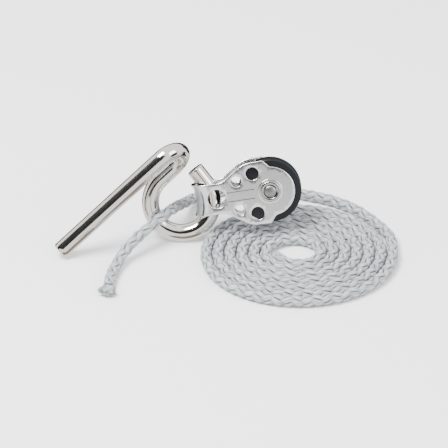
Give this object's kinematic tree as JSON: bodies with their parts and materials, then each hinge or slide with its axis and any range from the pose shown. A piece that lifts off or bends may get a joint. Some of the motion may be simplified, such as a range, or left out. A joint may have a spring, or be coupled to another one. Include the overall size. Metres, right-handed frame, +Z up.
{
  "type": "single sheave block on a rod hook",
  "caption": "Small ball-bearing sheave block with a folded metal strap, hanging on the open ring of a bent rod hook, with its coiled braided line.",
  "frame": {"origin": "on the floor, under the middle of the hook and block together", "axes": "+X from the hook's leg to the block, +Z up, -Y the side that the near cheek faces"},
  "size_m": [0.1201, 0.0833, 0.0373],
  "materials": {
    "hook_steel": "polished stainless",
    "strap_steel": "satin stainless, stamped",
    "axle_steel": "turned stainless",
    "sheave_acetal": "satin black acetal",
    "race_acetal": "moulded acetal",
    "ball_acetal": "ground acetal",
    "braid": "hollow braid of silver-grey fibre"
  },
  "bodies": {
    "hook_and_line": {"hook": "hook_steel", "rope_coil": "braid", "rope_tail": "braid", "rope_tail_end": "braid"},
    "block": {"strap": "strap_steel", "axle_tube": "axle_steel", "axle_pin": "axle_steel", "race_front": "race_acetal", "race_back": "race_acetal"},
    "wheel": {"sheave": "sheave_acetal"},
    "ball_ring": {"ball_01": "ball_acetal", "ball_02": "ball_acetal", "ball_03": "ball_acetal", "ball_04": "ball_acetal", "ball_05": "ball_acetal", "ball_06": "ball_acetal", "ball_07": "ball_acetal", "ball_08": "ball_acetal", "ball_09": "ball_acetal", "ball_10": "ball_acetal", "ball_11": "ball_acetal", "ball_12": "ball_acetal"}
  },
  "joints": [
    {"name": "block_swing", "type": "hinge", "parent": "hook_and_line", "child": "block", "pos_m": [0.01079, 0.00441, 0.01458], "axis": [0.1478, -0.3464, -0.9264], "range_deg": [0, 95]},
    {"name": "sheave_spin", "type": "hinge", "parent": "block", "child": "wheel", "pos_m": [0.03215, 0.00553, 0.01757], "axis": [0, -0.9367, 0.3502], "continuous": true},
    {"name": "balls_orbit", "type": "hinge", "parent": "block", "child": "ball_ring", "pos_m": [0.03215, 0.00553, 0.01757], "axis": [0, -0.9367, 0.3502], "continuous": true}
  ],
  "couplings": [
    {"joint": "balls_orbit", "follows": "sheave_spin", "ratio": 0.6213}
  ]
}
